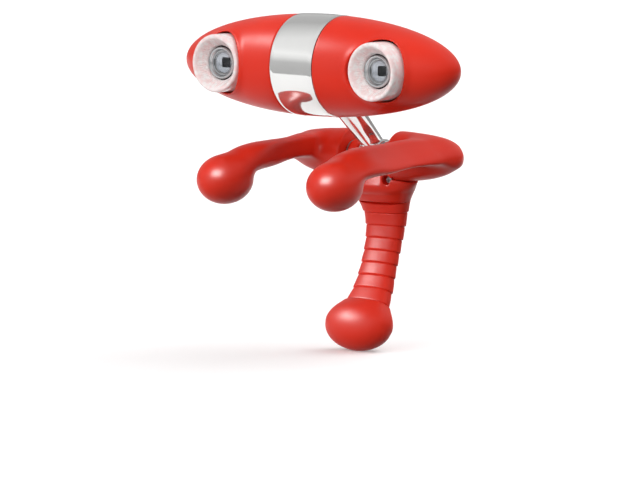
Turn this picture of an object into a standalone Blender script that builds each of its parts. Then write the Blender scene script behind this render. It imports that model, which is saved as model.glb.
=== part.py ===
"""Stereo webcam on a folding three-footed clip stand.

A long egg-shaped head with two lenses tilts on a chrome post. The post, a horseshoe arm frame and a
rear leg all turn on one hub axle, so the stand folds flat, stands as a tripod or hooks over a monitor.
It is posed as a monitor clip. The origin is the middle of the monitor's top edge, under the arms.
Metres, +Z up, the lenses look along -Y.
"""

import math

import bmesh
import bpy
from mathutils import Matrix, Vector

MM = 0.001
GAP = 0.3 * MM  # clearance between pieces that touch

# Hub: the common axle of the arms, the leg and the post, seen from the origin.
HUB_Y = 20.41 * MM
HUB_Z = 1.64 * MM
HUB_RADIUS = 7.5 * MM
HUB_FACE = 9.0 * MM  # inner face of each arm's half of the hub, from the middle
HUB_END = 32.1 * MM  # round outer end of the hub, from the middle
AXLE_RADIUS = 1.5 * MM
AXLE_HALF = 20.0 * MM  # depth of the axle's bore in each arm, from the middle
HUB_AXLE_LENGTH = 39.0 * MM

# Head: an egg turned about X.
HEAD_RADIUS = 15.4 * MM
HEAD_HALF = 52.2 * MM
BAND_HALF = 8.0 * MM
WALL = 1.6 * MM
LENS_X = 30.0 * MM  # half of the stereo base
BEZEL_RADIUS = 8.8 * MM

# Lenses: closed outlines of (radius, height ahead of the head's axis) in millimetres.
BEZEL_OUTLINE = (
    (8.0, 14.6),
    (8.45, 14.45),
    (8.8, 14.0),
    (8.8, 7.6),
    (7.2, 7.6),
    (7.2, 10.2),
    (5.35, 11.0),
    (5.2, 11.7),
    (7.3, 14.2),
    (7.6, 14.5),
)
HOLDER_OUTLINE = (
    (6.4, 9.6),
    (6.4, 0.6),
    (2.0, 0.6),
    (2.0, 3.0),
    (4.0, 3.0),
    (4.0, 4.6),
    (5.15, 4.6),
    (5.15, 9.6),
)
FOCUS_OUTLINE = (
    (4.5, 11.6),
    (4.85, 11.3),
    (4.85, 4.9),
    (3.3, 4.9),
    (3.3, 8.2),
    (3.75, 8.2),
    (3.75, 10.6),
    (4.1, 11.5),
)
GLASS_OUTLINE = ((0.0, 10.7), (1.2, 10.62), (2.4, 10.35), (3.4, 9.9), (3.4, 9.3), (0.0, 9.3))
IRIS_OUTLINE = ((3.4, 9.0), (3.4, 8.5), (1.0, 8.5), (1.0, 9.0))
SENSOR_SIZE = (7.0 * MM, 0.8 * MM, 7.0 * MM)
SENSOR_PLACE = (-0.1 * MM, -0.5 * MM)  # Y and Z in the head
SENSOR_BOARD_SIZE = (16.0 * MM, 1.2 * MM, 11.0 * MM)
SENSOR_BOARD_PLACE = (1.2 * MM, -1.0 * MM)

# Post between the hub and the head.
POST_LENGTH = 38.8 * MM
POST_LEAN = math.radians(42.7)  # forwards from upright
POST_TOP_RADIUS = 4.6 * MM
POST_FOOT_RADIUS = 3.2 * MM
TUBE_CROSSING = 18.8 * MM  # where the tube's own axis crosses the line from the hub to the head
TUBE_LEAN = math.radians(4.3)  # the tube leans this much more than that line
KNUCKLE_RADIUS = 4.8 * MM
KNUCKLE_HALF = 3.6 * MM
HEAD_KNUCKLE_RADIUS = 4.2 * MM
HEAD_KNUCKLE_HALF = 3.4 * MM
HEAD_TILT = math.radians(35.0)  # each way
SCREW_X = 19.0 * MM  # screws that hold the end shells, at the back of the head
SCREW_Z = 6.0 * MM
SLOT_HALF = 5.1 * MM  # opening under the band for the top of the post
SLOT_SPARE = math.radians(20.0)  # opening beyond the tilt, each way
BAND_WALL = 1.2 * MM

# Cable gland: its angle above the rear horizon, and its (radius, distance from the head's axis) outline.
GLAND_ANGLE = math.radians(38)
GLAND_OUTLINE = (
    (2.6, 17.0),
    (2.9, 16.7),
    (2.9, 15.75),
    (2.1, 15.65),
    (2.1, 12.5),
    (1.4, 12.5),
    (1.4, 17.0),
)
GLAND_HOLE_RADIUS = 2.4 * MM
GLAND_HOLE_PLACE = 14.0 * MM

# Inside the head: a chassis with two ears on the tilt axle and a boss for each shell screw.
CHASSIS_SIZE = (68.0 * MM, 6.0 * MM, 2.0 * MM)
CHASSIS_PLACE = (0, 3.4 * MM, 6.0 * MM)
EAR_SIZE = (2.0 * MM, 8.0 * MM, 11.0 * MM)
EAR_X = 6.0 * MM
EAR_Z = 1.0 * MM
TILT_AXLE_LENGTH = 14.0 * MM
MAIN_BOARD_SIZE = (30.0 * MM, 10.0 * MM, 1.2 * MM)
MAIN_BOARD_Z = 7.9 * MM
CHIP_SIZE = (8.0 * MM, 7.0 * MM, 1.0 * MM)
CHIP_Z = 9.3 * MM

# Washers and bushes on the axles.
WASHER_RADIUS = 4.0 * MM
WASHER_THICKNESS = 0.4 * MM
BUSH_RADIUS = 3.4 * MM
BUSH_THICKNESS = 0.9 * MM
BORE_GAP = 0.06 * MM  # running clearance of the lugs and knuckles on their axles

# Rear leg.
LUG_RADIUS = 4.2 * MM  # hinge lugs on the axle, either side of the post
LUG_OUTER = 8.2 * MM
LUG_INNER = 4.4 * MM
SLEEVE_WALL = 1.3 * MM
CLAMP_X = 7.2 * MM  # screws that pinch the lugs on the axle
CLAMP_Y = -3.6 * MM
CLAMP_Z = -8.0 * MM
CLAMP_HOLE_RADIUS = 1.5 * MM
CLAMP_HOLE_LENGTH = 7.2 * MM
CLAMP_SCREW_RADIUS = 1.1 * MM
CLAMP_SCREW_LENGTH = 3.0 * MM
CLAMP_SCREW_SHIFT = 1.7 * MM  # sunk this far in its hole
RIB_COUNT = 9
RIB_STEPS = 3  # sections along each rib
RIB_DEPTH = 0.35 * MM
SHOULDER_AT = 2.5  # station position of the shoulder under the hub
SLEEVE_END_AT = 10.2  # station position where the sleeve meets the foot
FOOT_CENTRE = Vector((0.0, -8.6 * MM, -51.5 * MM))
FOOT_RADII = (11.7 * MM, 7.2 * MM, 7.75 * MM)

# Front knobs of the arms.
KNOB_CENTRE = (21.1 * MM, -46.5 * MM, -5.6 * MM)
KNOB_RADII = (7.7 * MM, 9.7 * MM, 7.5 * MM)

# Anti-slip pads and axle screws under the arms.
PAD_SIZE = (7.0 * MM, 11.0 * MM, 1.0 * MM)
PAD_PLACE = (22.9 * MM, -20.5 * MM, -1.15 * MM)
PAD_SLOPE = math.radians(10.0)
AXLE_SCREW_X = 16.0 * MM
AXLE_SCREW_Z = -3.9 * MM
AXLE_SCREW_RADIUS = 1.0 * MM
AXLE_SCREW_LENGTH = 3.6 * MM

# Arm: y, centre x, half width, top z and bottom z, from behind the hub to inside the knob.
ARM_STATIONS = (
    (6.2, 25.0, 1.0, 2.0, 0.6),
    (5.5, 25.0, 3.8, 3.6, -0.5),
    (3.9, 25.0, 5.6, 4.7, -1.1),
    (1.5, 24.9, 6.8, 5.4, -1.3),
    (-2.0, 24.8, 7.2, 5.6, -1.2),
    (-7.0, 24.5, 6.8, 5.6, -0.8),
    (-13.0, 23.9, 6.0, 5.4, -0.6),
    (-20.0, 23.2, 5.7, 4.9, -1.3),
    (-28.0, 22.4, 5.7, 4.2, -2.6),
    (-35.0, 21.8, 6.0, 3.6, -4.4),
    (-41.0, 21.3, 6.3, 2.6, -7.0),
    (-46.4, 21.1, 5.8, 0.7, -9.0),
    (-50.0, 21.1, 3.4, -1.5, -8.4),
)

# Leg: y and z of its middle, half width and half thickness, from the hub to inside the foot.
LEG_STATIONS = (
    (0.6, -4.2, 14.6, 4.6),
    (1.4, -7.5, 14.4, 5.6),
    (2.8, -10.5, 12.2, 5.0),
    (4.1, -14.5, 9.2, 4.0),
    (4.7, -18.5, 7.7, 3.4),
    (4.5, -22.5, 6.9, 3.2),
    (3.6, -27.0, 6.4, 3.1),
    (2.2, -31.5, 6.3, 3.1),
    (0.6, -36.0, 6.4, 3.1),
    (-1.5, -41.0, 6.9, 3.3),
    (-4.6, -46.0, 7.5, 3.6),
    (-8.0, -51.0, 6.4, 3.5),
)

RED = (0.72, 0.035, 0.018)
CHROME = (0.80, 0.81, 0.82)
GREY_METAL = (0.42, 0.42, 0.44)
BLACK = (0.02, 0.02, 0.022)
PALE = (0.90, 0.80, 0.80)
GREEN = (0.03, 0.16, 0.07)
GLASS = (0.55, 0.62, 0.70)


def clear_scene():
    for thing in list(bpy.data.objects):
        bpy.data.objects.remove(thing, do_unlink=True)


def new_collection(name):
    collection = bpy.data.collections.new(name)
    bpy.context.scene.collection.children.link(collection)
    return collection


def material(name, colour, roughness, metallic=0.0, alpha=1.0):
    made = bpy.data.materials.new(name)
    made.use_nodes = True
    shader = made.node_tree.nodes["Principled BSDF"]
    shader.inputs["Base Color"].default_value = (*colour, 1.0)
    shader.inputs["Roughness"].default_value = roughness
    shader.inputs["Metallic"].default_value = metallic
    shader.inputs["Alpha"].default_value = alpha
    return made


def place(thing, parent, location=(0, 0, 0), rotation=(0, 0, 0)):
    thing.parent = parent
    thing.location = location
    thing.rotation_euler = rotation
    return thing


def pivot(name, parent=None, location=(0, 0, 0), rotation=(0, 0, 0)):
    empty = bpy.data.objects.new(name, None)
    empty.empty_display_size = 5 * MM
    PARTS.objects.link(empty)
    return place(empty, parent, location, rotation)


def from_bmesh(name, mesh_data, look=None, smooth=True):
    """A named object from a bmesh; with no look it is a cutter."""
    mesh = bpy.data.meshes.new(name)
    bmesh.ops.recalc_face_normals(mesh_data, faces=mesh_data.faces)
    mesh_data.to_mesh(mesh)
    mesh_data.free()
    if smooth:
        mesh.shade_smooth()
        mesh.set_sharp_from_angle(angle=math.radians(35))
    thing = bpy.data.objects.new(name, mesh)
    if look:
        mesh.materials.append(look)
        PARTS.objects.link(thing)
    else:
        thing.hide_render = True
        thing.display_type = "WIRE"
        CUTTERS.objects.link(thing)
    return thing


def box(name, size, look=None, bevel=0.0):
    mesh_data = bmesh.new()
    bmesh.ops.create_cube(mesh_data, size=1.0, matrix=Matrix.Diagonal((*size, 1.0)))
    thing = from_bmesh(name, mesh_data, look, smooth=False)
    if bevel:
        edge = thing.modifiers.new("edges", "BEVEL")
        edge.width = bevel
        edge.segments = 2
    return thing


def drum(name, radius, length, axis="Z", look=None, far_radius=None, sides=18, bevel=0.0):
    """A cylinder or cone centred on its origin, along X, Y or Z."""
    turn = {
        "X": Matrix.Rotation(math.pi / 2, 4, "Y"),
        "Y": Matrix.Rotation(math.pi / 2, 4, "X"),
        "Z": Matrix.Identity(4),
    }[axis]
    mesh_data = bmesh.new()
    bmesh.ops.create_cone(
        mesh_data,
        cap_ends=True,
        segments=sides,
        radius1=radius,
        radius2=radius if far_radius is None else far_radius,
        depth=length,
        matrix=turn,
    )
    thing = from_bmesh(name, mesh_data, look)
    if bevel:
        edge = thing.modifiers.new("edges", "BEVEL")
        edge.width = bevel
        edge.segments = 2
        edge.limit_method = "ANGLE"
    return thing


def egg(name, radii, look=None, sides=20, rings=10):
    mesh_data = bmesh.new()
    bmesh.ops.create_uvsphere(
        mesh_data,
        u_segments=sides,
        v_segments=rings,
        radius=1.0,
        matrix=Matrix.Diagonal((*radii, 1.0)),
    )
    return from_bmesh(name, mesh_data, look)


def turned(name, profile, look=None, steps=24):
    """A profile of (radius, height) turned about local Z, its outer side running downwards.

    The profile closes on itself unless both of its ends lie on the axis.
    """
    mesh = bpy.data.meshes.new(name)
    points = [(radius, 0.0, height) for radius, height in profile]
    count = len(points)
    edges = [(i, i + 1) for i in range(count - 1)]
    if profile[0][0] > 0 or profile[-1][0] > 0:
        edges.append((count - 1, 0))
    mesh.from_pydata(points, edges, [])
    thing = bpy.data.objects.new(name, mesh)
    turn = thing.modifiers.new("turn", "SCREW")
    turn.steps = steps
    turn.render_steps = steps
    turn.use_merge_vertices = True
    turn.merge_threshold = 0.00001
    turn.use_smooth_shade = True
    if look:
        mesh.materials.append(look)
        PARTS.objects.link(thing)
    else:
        thing.hide_render = True
        thing.display_type = "WIRE"
        CUTTERS.objects.link(thing)
    return thing


def rounded_section(centre, across, up, half_width, half_height, squareness, sides):
    """Points of a superellipse in the plane of across and up; squareness 2 is an ellipse."""
    points = []
    for step in range(sides):
        angle = 2 * math.pi * step / sides
        c, s = math.cos(angle), math.sin(angle)
        u = math.copysign(abs(c) ** (2 / squareness), c) * half_width
        v = math.copysign(abs(s) ** (2 / squareness), s) * half_height
        points.append(centre + across * u + up * v)
    return points


def loft(name, sections, look=None):
    """A closed skin over a row of sections with equal numbers of points."""
    mesh_data = bmesh.new()
    rings = [[mesh_data.verts.new(point) for point in section] for section in sections]
    for first, second in zip(rings, rings[1:]):
        for i in range(len(first)):
            j = (i + 1) % len(first)
            mesh_data.faces.new((first[i], first[j], second[j], second[i]))
    mesh_data.faces.new(rings[0])
    mesh_data.faces.new(rings[-1])
    return from_bmesh(name, mesh_data, look)


def boolean(target, tool, operation):
    step = target.modifiers.new(tool.name, "BOOLEAN")
    step.operation = operation
    step.object = tool
    return target


def cut(target, tool):
    return boolean(target, tool, "DIFFERENCE")


def join(target, tool):
    return boolean(target, tool, "UNION")


def spline(rows, position):
    """Catmull-Rom value at a position between 0 and len(rows) - 1 in a list of equal rows."""
    last = len(rows) - 1
    i = min(int(position), last - 1)
    t = position - i
    before, here, there, after = (rows[max(0, min(last, i + k))] for k in (-1, 0, 1, 2))
    return tuple(
        0.5 * (2 * b + (c - a) * t + (2 * a - 5 * b + 4 * c - d) * t**2 + (3 * b - a - 3 * c + d) * t**3)
        for a, b, c, d in zip(before, here, there, after)
    )


# ---------------------------------------------------------------- arms


def arm_sections(sides=16, steps_between=1):
    sections = []
    last = len(ARM_STATIONS) - 1
    for step in range(last * steps_between + 1):
        y, x, half_width, top, bottom = spline(ARM_STATIONS, step / steps_between)
        centre = Vector((x, y, (top + bottom) / 2)) * MM
        half_height = (top - bottom) / 2 * MM
        section = rounded_section(
            centre, Vector((1, 0, 0)), Vector((0, 0, 1)), half_width * MM, half_height, 2.6, sides
        )
        sections.append(section)
    return sections


def mirror_x(thing):
    """Turns a right-hand mesh into its left-hand twin."""
    mesh_data = bmesh.new()
    mesh_data.from_mesh(thing.data)
    bmesh.ops.transform(mesh_data, matrix=Matrix.Diagonal((-1, 1, 1, 1)), verts=mesh_data.verts)
    bmesh.ops.recalc_face_normals(mesh_data, faces=mesh_data.faces)
    mesh_data.to_mesh(thing.data)
    mesh_data.free()


def hub_profile(steps=8, fullness=2.3):
    """Half of the hub, from its round outer end along its barrel to its flat inner face."""
    corner = 0.4 * MM
    reach = HUB_END - HUB_FACE - corner
    profile = []
    for i in range(steps + 1):
        share = math.cos(math.pi / 2 * i / steps)
        radius = HUB_RADIUS * math.sqrt(1 - share**fullness)
        profile.append((radius, HUB_FACE + corner + reach * share))
    profile += [(HUB_RADIUS - corner, HUB_FACE), (0.0, HUB_FACE)]
    return profile


def make_arm(side, sign):
    arm = loft(side + "_arm", arm_sections(), LOOKS["red"])
    knob = egg(side + "_arm_knob", KNOB_RADII)
    hub = turned(side + "_arm_hub", hub_profile())
    bore = drum(side + "_arm_bore", AXLE_RADIUS + GAP, 2 * AXLE_HALF, "X")
    seat = box(side + "_arm_seat", [length + 2 * GAP for length in PAD_SIZE])
    screw_hole = drum(side + "_arm_screw_hole", AXLE_SCREW_RADIUS + GAP, 8.0 * MM)
    if sign < 0:
        mirror_x(arm)
    place(arm, HUB)
    place(knob, HUB, (sign * KNOB_CENTRE[0], KNOB_CENTRE[1], KNOB_CENTRE[2]))
    place(hub, HUB, (0, 0, 0), (0, sign * math.pi / 2, 0))
    place(bore, HUB, (sign * GAP, 0, 0))
    pad_place = (sign * PAD_PLACE[0], PAD_PLACE[1], PAD_PLACE[2])
    place(seat, HUB, pad_place, (PAD_SLOPE, 0, 0))
    place(screw_hole, HUB, (sign * AXLE_SCREW_X, 0, -5.0 * MM))
    join(arm, knob)
    join(arm, hub)
    cut(arm, bore)
    cut(arm, seat)
    cut(arm, screw_hole)
    pad = box(side + "_grip_pad", PAD_SIZE, LOOKS["red_rubber"], bevel=0.25 * MM)
    place(pad, HUB, pad_place, (PAD_SLOPE, 0, 0))
    screw = drum(
        side + "_axle_screw", AXLE_SCREW_RADIUS, AXLE_SCREW_LENGTH, "Z", LOOKS["grey"], sides=16
    )
    place(screw, HUB, (sign * AXLE_SCREW_X, 0, AXLE_SCREW_Z))
    add_washer(side + "_hub_washer", sign * (HUB_FACE + LUG_OUTER) / 2)


def ring(name, outer, thickness, look, steps=18):
    """A flat ring that clears an axle."""
    half = thickness / 2
    inner = AXLE_RADIUS + GAP
    return turned(name, ((outer, half), (outer, -half), (inner, -half), (inner, half)), look, steps)


def add_washer(name, x):
    washer = ring(name, WASHER_RADIUS, WASHER_THICKNESS, LOOKS["grey"])
    place(washer, HUB, (x, 0, 0), (0, math.pi / 2, 0))


# ---------------------------------------------------------------- rear leg


def leg_frames(first, last, steps, inset=0.0, rib=False):
    """Leg sections between two stations, drawn in by an inset, with ribs along the sleeve if asked."""
    sections = []
    for step in range(steps + 1):
        position = first + (last - first) * step / steps
        y, z, half_width, half_depth = spline(LEG_STATIONS, position)
        ahead = spline(LEG_STATIONS, min(position + 0.05, len(LEG_STATIONS) - 1))
        behind = spline(LEG_STATIONS, max(position - 0.05, 0))
        along = Vector((0, ahead[0] - behind[0], ahead[1] - behind[1])).normalized()
        depthwise = Vector((0, along.z, -along.y))
        swell = 0.0
        if rib:
            phase = (step % RIB_STEPS) / RIB_STEPS
            swell = RIB_DEPTH * (math.sin(math.pi * phase) - 1.0)
        sections.append(
            rounded_section(
                Vector((0, y, z)) * MM,
                Vector((1, 0, 0)),
                depthwise,
                half_width * MM - inset + swell,
                half_depth * MM - inset + swell,
                2.3,
                16,
            )
        )
    return sections


def slot_outline(radius, first_angle, last_angle, steps=14):
    """A slice of a disc about the hub, in Y and Z, with angles turned from straight down to the front."""
    outline = [(0.0, 0.0)]
    for step in range(steps + 1):
        angle = first_angle + (last_angle - first_angle) * step / steps
        outline.append((-radius * math.sin(angle), -radius * math.cos(angle)))
    return outline


def prism(name, outline, half_width, look=None):
    """A Y-Z outline made solid, half_width to each side along X."""
    mesh_data = bmesh.new()
    face = mesh_data.faces.new([mesh_data.verts.new((-half_width, y, z)) for y, z in outline])
    grown = bmesh.ops.extrude_face_region(mesh_data, geom=[face])
    moved = [item for item in grown["geom"] if isinstance(item, bmesh.types.BMVert)]
    bmesh.ops.translate(mesh_data, vec=(2 * half_width, 0, 0), verts=moved)
    return from_bmesh(name, mesh_data, look, smooth=False)


def make_leg():
    core = loft(
        "leg_core",
        leg_frames(0, SHOULDER_AT, 6) + leg_frames(SHOULDER_AT + 0.01, 11, 9, inset=SLEEVE_WALL + GAP),
        LOOKS["red"],
    )
    lugs = drum("leg_lugs", LUG_RADIUS, 2 * LUG_OUTER, "X", sides=24)
    lug_roots = box("leg_lug_roots", (2 * LUG_OUTER, 2 * LUG_RADIUS, 8 * MM))
    well = drum("leg_well", KNUCKLE_RADIUS + GAP, 2 * LUG_INNER, "X", sides=24)
    slice_outline = slot_outline(17 * MM, math.radians(22), math.radians(232))
    post_slot = prism("leg_post_slot", slice_outline, LUG_INNER)
    bore = drum("leg_bore", AXLE_RADIUS + BORE_GAP, 4 * LUG_OUTER, "X")
    for piece in (core, lugs, well, post_slot, bore):
        place(piece, LEG)
    place(lug_roots, LEG, (0, 0.4 * MM, -4 * MM))
    for side, sign in SIDES:
        saddle = drum("leg_saddle_" + side, HUB_RADIUS + GAP, 10 * MM, "X", sides=32)
        place(saddle, LEG, (sign * (LUG_OUTER + 5 * MM), 0, 0))
        cut(core, saddle)
    join(core, lugs)
    join(core, lug_roots)
    cut(core, well)
    cut(core, post_slot)
    cut(core, bore)

    sleeve = loft(
        "leg_sleeve",
        leg_frames(SHOULDER_AT + 0.1, SLEEVE_END_AT, RIB_COUNT * RIB_STEPS, rib=True),
        LOOKS["red_rubber"],
    )
    sleeve_bore = loft("leg_sleeve_bore", leg_frames(SHOULDER_AT, 11, 9, inset=SLEEVE_WALL))
    foot_room = egg("leg_foot_room", [radius + GAP for radius in FOOT_RADII])
    place(sleeve, LEG)
    place(sleeve_bore, LEG)
    place(foot_room, LEG, FOOT_CENTRE)
    cut(sleeve, sleeve_bore)
    cut(sleeve, foot_room)

    foot = egg("leg_foot", FOOT_RADII, LOOKS["red_rubber"], sides=24, rings=14)
    foot_socket = loft("leg_foot_socket", leg_frames(8, 11, 4, inset=SLEEVE_WALL))
    place(foot, LEG, FOOT_CENTRE)
    place(foot_socket, LEG)
    cut(foot, foot_socket)

    for side, sign in SIDES:
        hole = drum("leg_screw_hole_" + side, CLAMP_HOLE_RADIUS, CLAMP_HOLE_LENGTH, "Y", sides=16)
        place(hole, LEG, (sign * CLAMP_X, CLAMP_Y, CLAMP_Z))
        cut(core, hole)
        screw = drum(
            side + "_clamp_screw", CLAMP_SCREW_RADIUS, CLAMP_SCREW_LENGTH, "Y", LOOKS["grey"], sides=16
        )
        place(screw, LEG, (sign * CLAMP_X, CLAMP_Y + CLAMP_SCREW_SHIFT, CLAMP_Z))
        add_washer(side + "_post_washer", sign * (LUG_INNER + KNUCKLE_HALF) / 2)


# ---------------------------------------------------------------- post


def make_post():
    tube_start = 3.0 * MM
    tube_end = POST_LENGTH - 2.0 * MM
    profile_length = tube_end - tube_start
    post = drum(
        "post_tube",
        POST_FOOT_RADIUS,
        profile_length,
        "Z",
        LOOKS["chrome"],
        far_radius=POST_TOP_RADIUS,
        sides=32,
    )
    shift = tube_start + profile_length / 2 - TUBE_CROSSING
    middle = (0, -shift * math.sin(TUBE_LEAN), TUBE_CROSSING + shift * math.cos(TUBE_LEAN))
    place(post, POST, middle, (TUBE_LEAN, 0, 0))
    knuckle_room = drum("post_knuckle_room", KNUCKLE_RADIUS + GAP, 4 * KNUCKLE_HALF, "X", sides=32)
    top_room = drum("post_top_room", HEAD_KNUCKLE_RADIUS + GAP, 4 * HEAD_KNUCKLE_HALF, "X", sides=32)
    place(knuckle_room, POST)
    place(top_room, POST, (0, 0, POST_LENGTH))
    cut(post, knuckle_room)
    cut(post, top_room)

    base = drum("base_knuckle", KNUCKLE_RADIUS, 2 * KNUCKLE_HALF, "X", LOOKS["chrome"], sides=40)
    base_bore = drum("base_knuckle_bore", AXLE_RADIUS + BORE_GAP, 4 * KNUCKLE_HALF, "X")
    top = drum(
        "head_knuckle", HEAD_KNUCKLE_RADIUS, 2 * HEAD_KNUCKLE_HALF, "X", LOOKS["grey"], sides=32
    )
    top_bore = drum("head_knuckle_bore", AXLE_RADIUS + BORE_GAP, 4 * HEAD_KNUCKLE_HALF, "X")
    place(base, POST)
    place(base_bore, POST)
    place(top, POST, (0, 0, POST_LENGTH))
    place(top_bore, POST, (0, 0, POST_LENGTH))
    cut(base, base_bore)
    cut(top, top_bore)


# ---------------------------------------------------------------- head


def egg_radius(x):
    return HEAD_RADIUS * math.sqrt(max(0.0, 1 - (x / HEAD_HALF) ** 2))


def shell_profile(start, steps=10):
    """Half of the egg as a cup: outer wall from its tip down to the rim, then the inner wall back up."""
    tip = math.acos(start / HEAD_HALF)
    outer = [
        (HEAD_RADIUS * math.sin(tip * i / steps), HEAD_HALF * math.cos(tip * i / steps))
        for i in range(steps + 1)
    ]
    inner_half = HEAD_HALF - WALL
    inner_radius = HEAD_RADIUS - WALL
    inner_tip = math.acos(start / inner_half)
    inner = [
        (inner_radius * math.sin(inner_tip * i / steps), inner_half * math.cos(inner_tip * i / steps))
        for i in range(steps, -1, -1)
    ]
    return outer + inner


def make_shell(side, sign):
    shell = turned(side + "_head_shell", shell_profile(BAND_HALF + GAP / 2), LOOKS["red"], steps=32)
    place(shell, HEAD, (0, 0, 0), (0, sign * math.pi / 2, 0))
    window = drum(side + "_window", BEZEL_RADIUS + GAP, 20 * MM, "Y", sides=32)
    place(window, HEAD, (sign * LENS_X, -14 * MM, 0))
    cut(shell, window)
    boss = drum(side + "_shell_boss", 2.7 * MM, 3.4 * MM, "Y", sides=24)
    head_room = drum(side + "_shell_screw_room", 1.9 * MM, 8 * MM, "Y", sides=24)
    shank_room = drum(side + "_shell_shank_room", 1.1 * MM, 8 * MM, "Y", sides=16)
    place(boss, HEAD, (sign * SCREW_X, 10.9 * MM, SCREW_Z))
    place(head_room, HEAD, (sign * SCREW_X, 14.2 * MM, SCREW_Z))
    place(shank_room, HEAD, (sign * SCREW_X, 8.0 * MM, SCREW_Z))
    join(shell, boss)
    cut(shell, head_room)
    cut(shell, shank_room)


def make_band():
    rim = egg_radius(BAND_HALF)
    inner = rim - BAND_WALL
    steps = 6
    outer = [
        (egg_radius(BAND_HALF * (1 - 2 * i / steps)), BAND_HALF * (1 - 2 * i / steps))
        for i in range(steps + 1)
    ]
    band = turned("centre_band", outer + [(inner, -BAND_HALF), (inner, BAND_HALF)], LOOKS["chrome"], 32)
    place(band, HEAD, (0, 0, 0), (0, math.pi / 2, 0))
    reach = 24 * MM
    half_angle = HEAD_TILT + SLOT_SPARE
    outline = [(0.0, 0.0)]
    for i in range(11):
        angle = POST_LEAN - half_angle + 2 * half_angle * i / 10
        outline.append((reach * math.sin(angle), -reach * math.cos(angle)))
    slot = prism("band_slot", outline, SLOT_HALF)
    place(slot, HEAD)
    cut(band, slot)
    gland_hole = drum("band_gland_hole", GLAND_HOLE_RADIUS, 10 * MM, "Z", sides=20)
    centre = (0, GLAND_HOLE_PLACE * math.cos(GLAND_ANGLE), GLAND_HOLE_PLACE * math.sin(GLAND_ANGLE))
    place(gland_hole, HEAD, centre, (GLAND_ANGLE - math.pi / 2, 0, 0))
    cut(band, gland_hole)


def make_gland():
    gland = turned("cable_gland", scaled(GLAND_OUTLINE), LOOKS["rubber"], 18)
    place(gland, HEAD, (0, 0, 0), (GLAND_ANGLE - math.pi / 2, 0, 0))


def make_lens(side, sign):
    bezel = turned(side + "_lens_bezel", scaled(BEZEL_OUTLINE), LOOKS["bezel"], 32)
    holder = turned(side + "_lens_holder", scaled(HOLDER_OUTLINE), LOOKS["black"], 24)
    focus = turned(side + "_focus_ring", scaled(FOCUS_OUTLINE), LOOKS["grey"], 24)
    glass = turned(side + "_front_lens", scaled(GLASS_OUTLINE), LOOKS["glass"], 20)
    iris = turned(side + "_iris_plate", scaled(IRIS_OUTLINE), LOOKS["black"], 18)
    for piece in (bezel, holder, focus, glass, iris):
        place(piece, HEAD, (sign * LENS_X, 0, 0), (math.pi / 2, 0, 0))
    sensor = box(side + "_image_sensor", SENSOR_SIZE, LOOKS["black"])
    place(sensor, HEAD, (sign * LENS_X, *SENSOR_PLACE))
    board = box(side + "_sensor_board", SENSOR_BOARD_SIZE, LOOKS["board"])
    place(board, HEAD, (sign * LENS_X, *SENSOR_BOARD_PLACE))


def scaled(profile):
    return [(radius * MM, height * MM) for radius, height in profile]


def make_chassis():
    chassis = box("chassis", CHASSIS_SIZE, LOOKS["black"], bevel=0.3 * MM)
    place(chassis, HEAD, CHASSIS_PLACE)
    for side, sign in SIDES:
        ear = box("chassis_ear_" + side, EAR_SIZE)
        place(ear, HEAD, (sign * EAR_X, 0, EAR_Z))
        join(chassis, ear)
        boss = drum("chassis_boss_" + side, 2.0 * MM, 8.0 * MM, "Y", sides=20)
        place(boss, HEAD, (sign * SCREW_X, 4.9 * MM, SCREW_Z))
        join(chassis, boss)
        tapped = drum("chassis_thread_" + side, 1.15 * MM, 7.0 * MM, "Y", sides=16)
        place(tapped, HEAD, (sign * SCREW_X, 6.6 * MM, SCREW_Z))
        cut(chassis, tapped)
        screw = drum(side + "_shell_screw", 1.5 * MM, 1.2 * MM, "Y", LOOKS["grey"], sides=20)
        shank = drum(side + "_shell_screw_shank", 0.8 * MM, 7.0 * MM, "Y", sides=12)
        place(screw, HEAD, (sign * SCREW_X, 11.1 * MM, SCREW_Z))
        place(shank, HEAD, (sign * SCREW_X, 7.4 * MM, SCREW_Z))
        join(screw, shank)
        bush = ring(side + "_tilt_bush", BUSH_RADIUS, BUSH_THICKNESS, LOOKS["rubber"])
        bush_place = (HEAD_KNUCKLE_HALF + EAR_X - EAR_SIZE[0] / 2) / 2
        place(bush, HEAD, (sign * bush_place, 0, 0), (0, math.pi / 2, 0))
    bore = drum("chassis_bore", AXLE_RADIUS + GAP, 20 * MM, "X")
    place(bore, HEAD)
    cut(chassis, bore)
    axle = drum("tilt_axle", AXLE_RADIUS, TILT_AXLE_LENGTH, "X", LOOKS["grey"], bevel=0.2 * MM)
    place(axle, HEAD)
    board = box("main_board", MAIN_BOARD_SIZE, LOOKS["board"])
    place(board, HEAD, (0, 0, MAIN_BOARD_Z))
    chip = box("video_processor", CHIP_SIZE, LOOKS["black"])
    place(chip, HEAD, (0, 0, CHIP_Z))


def make_axle():
    axle = drum("hub_axle", AXLE_RADIUS, HUB_AXLE_LENGTH, "X", LOOKS["grey"], bevel=0.2 * MM)
    place(axle, HUB)


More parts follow.
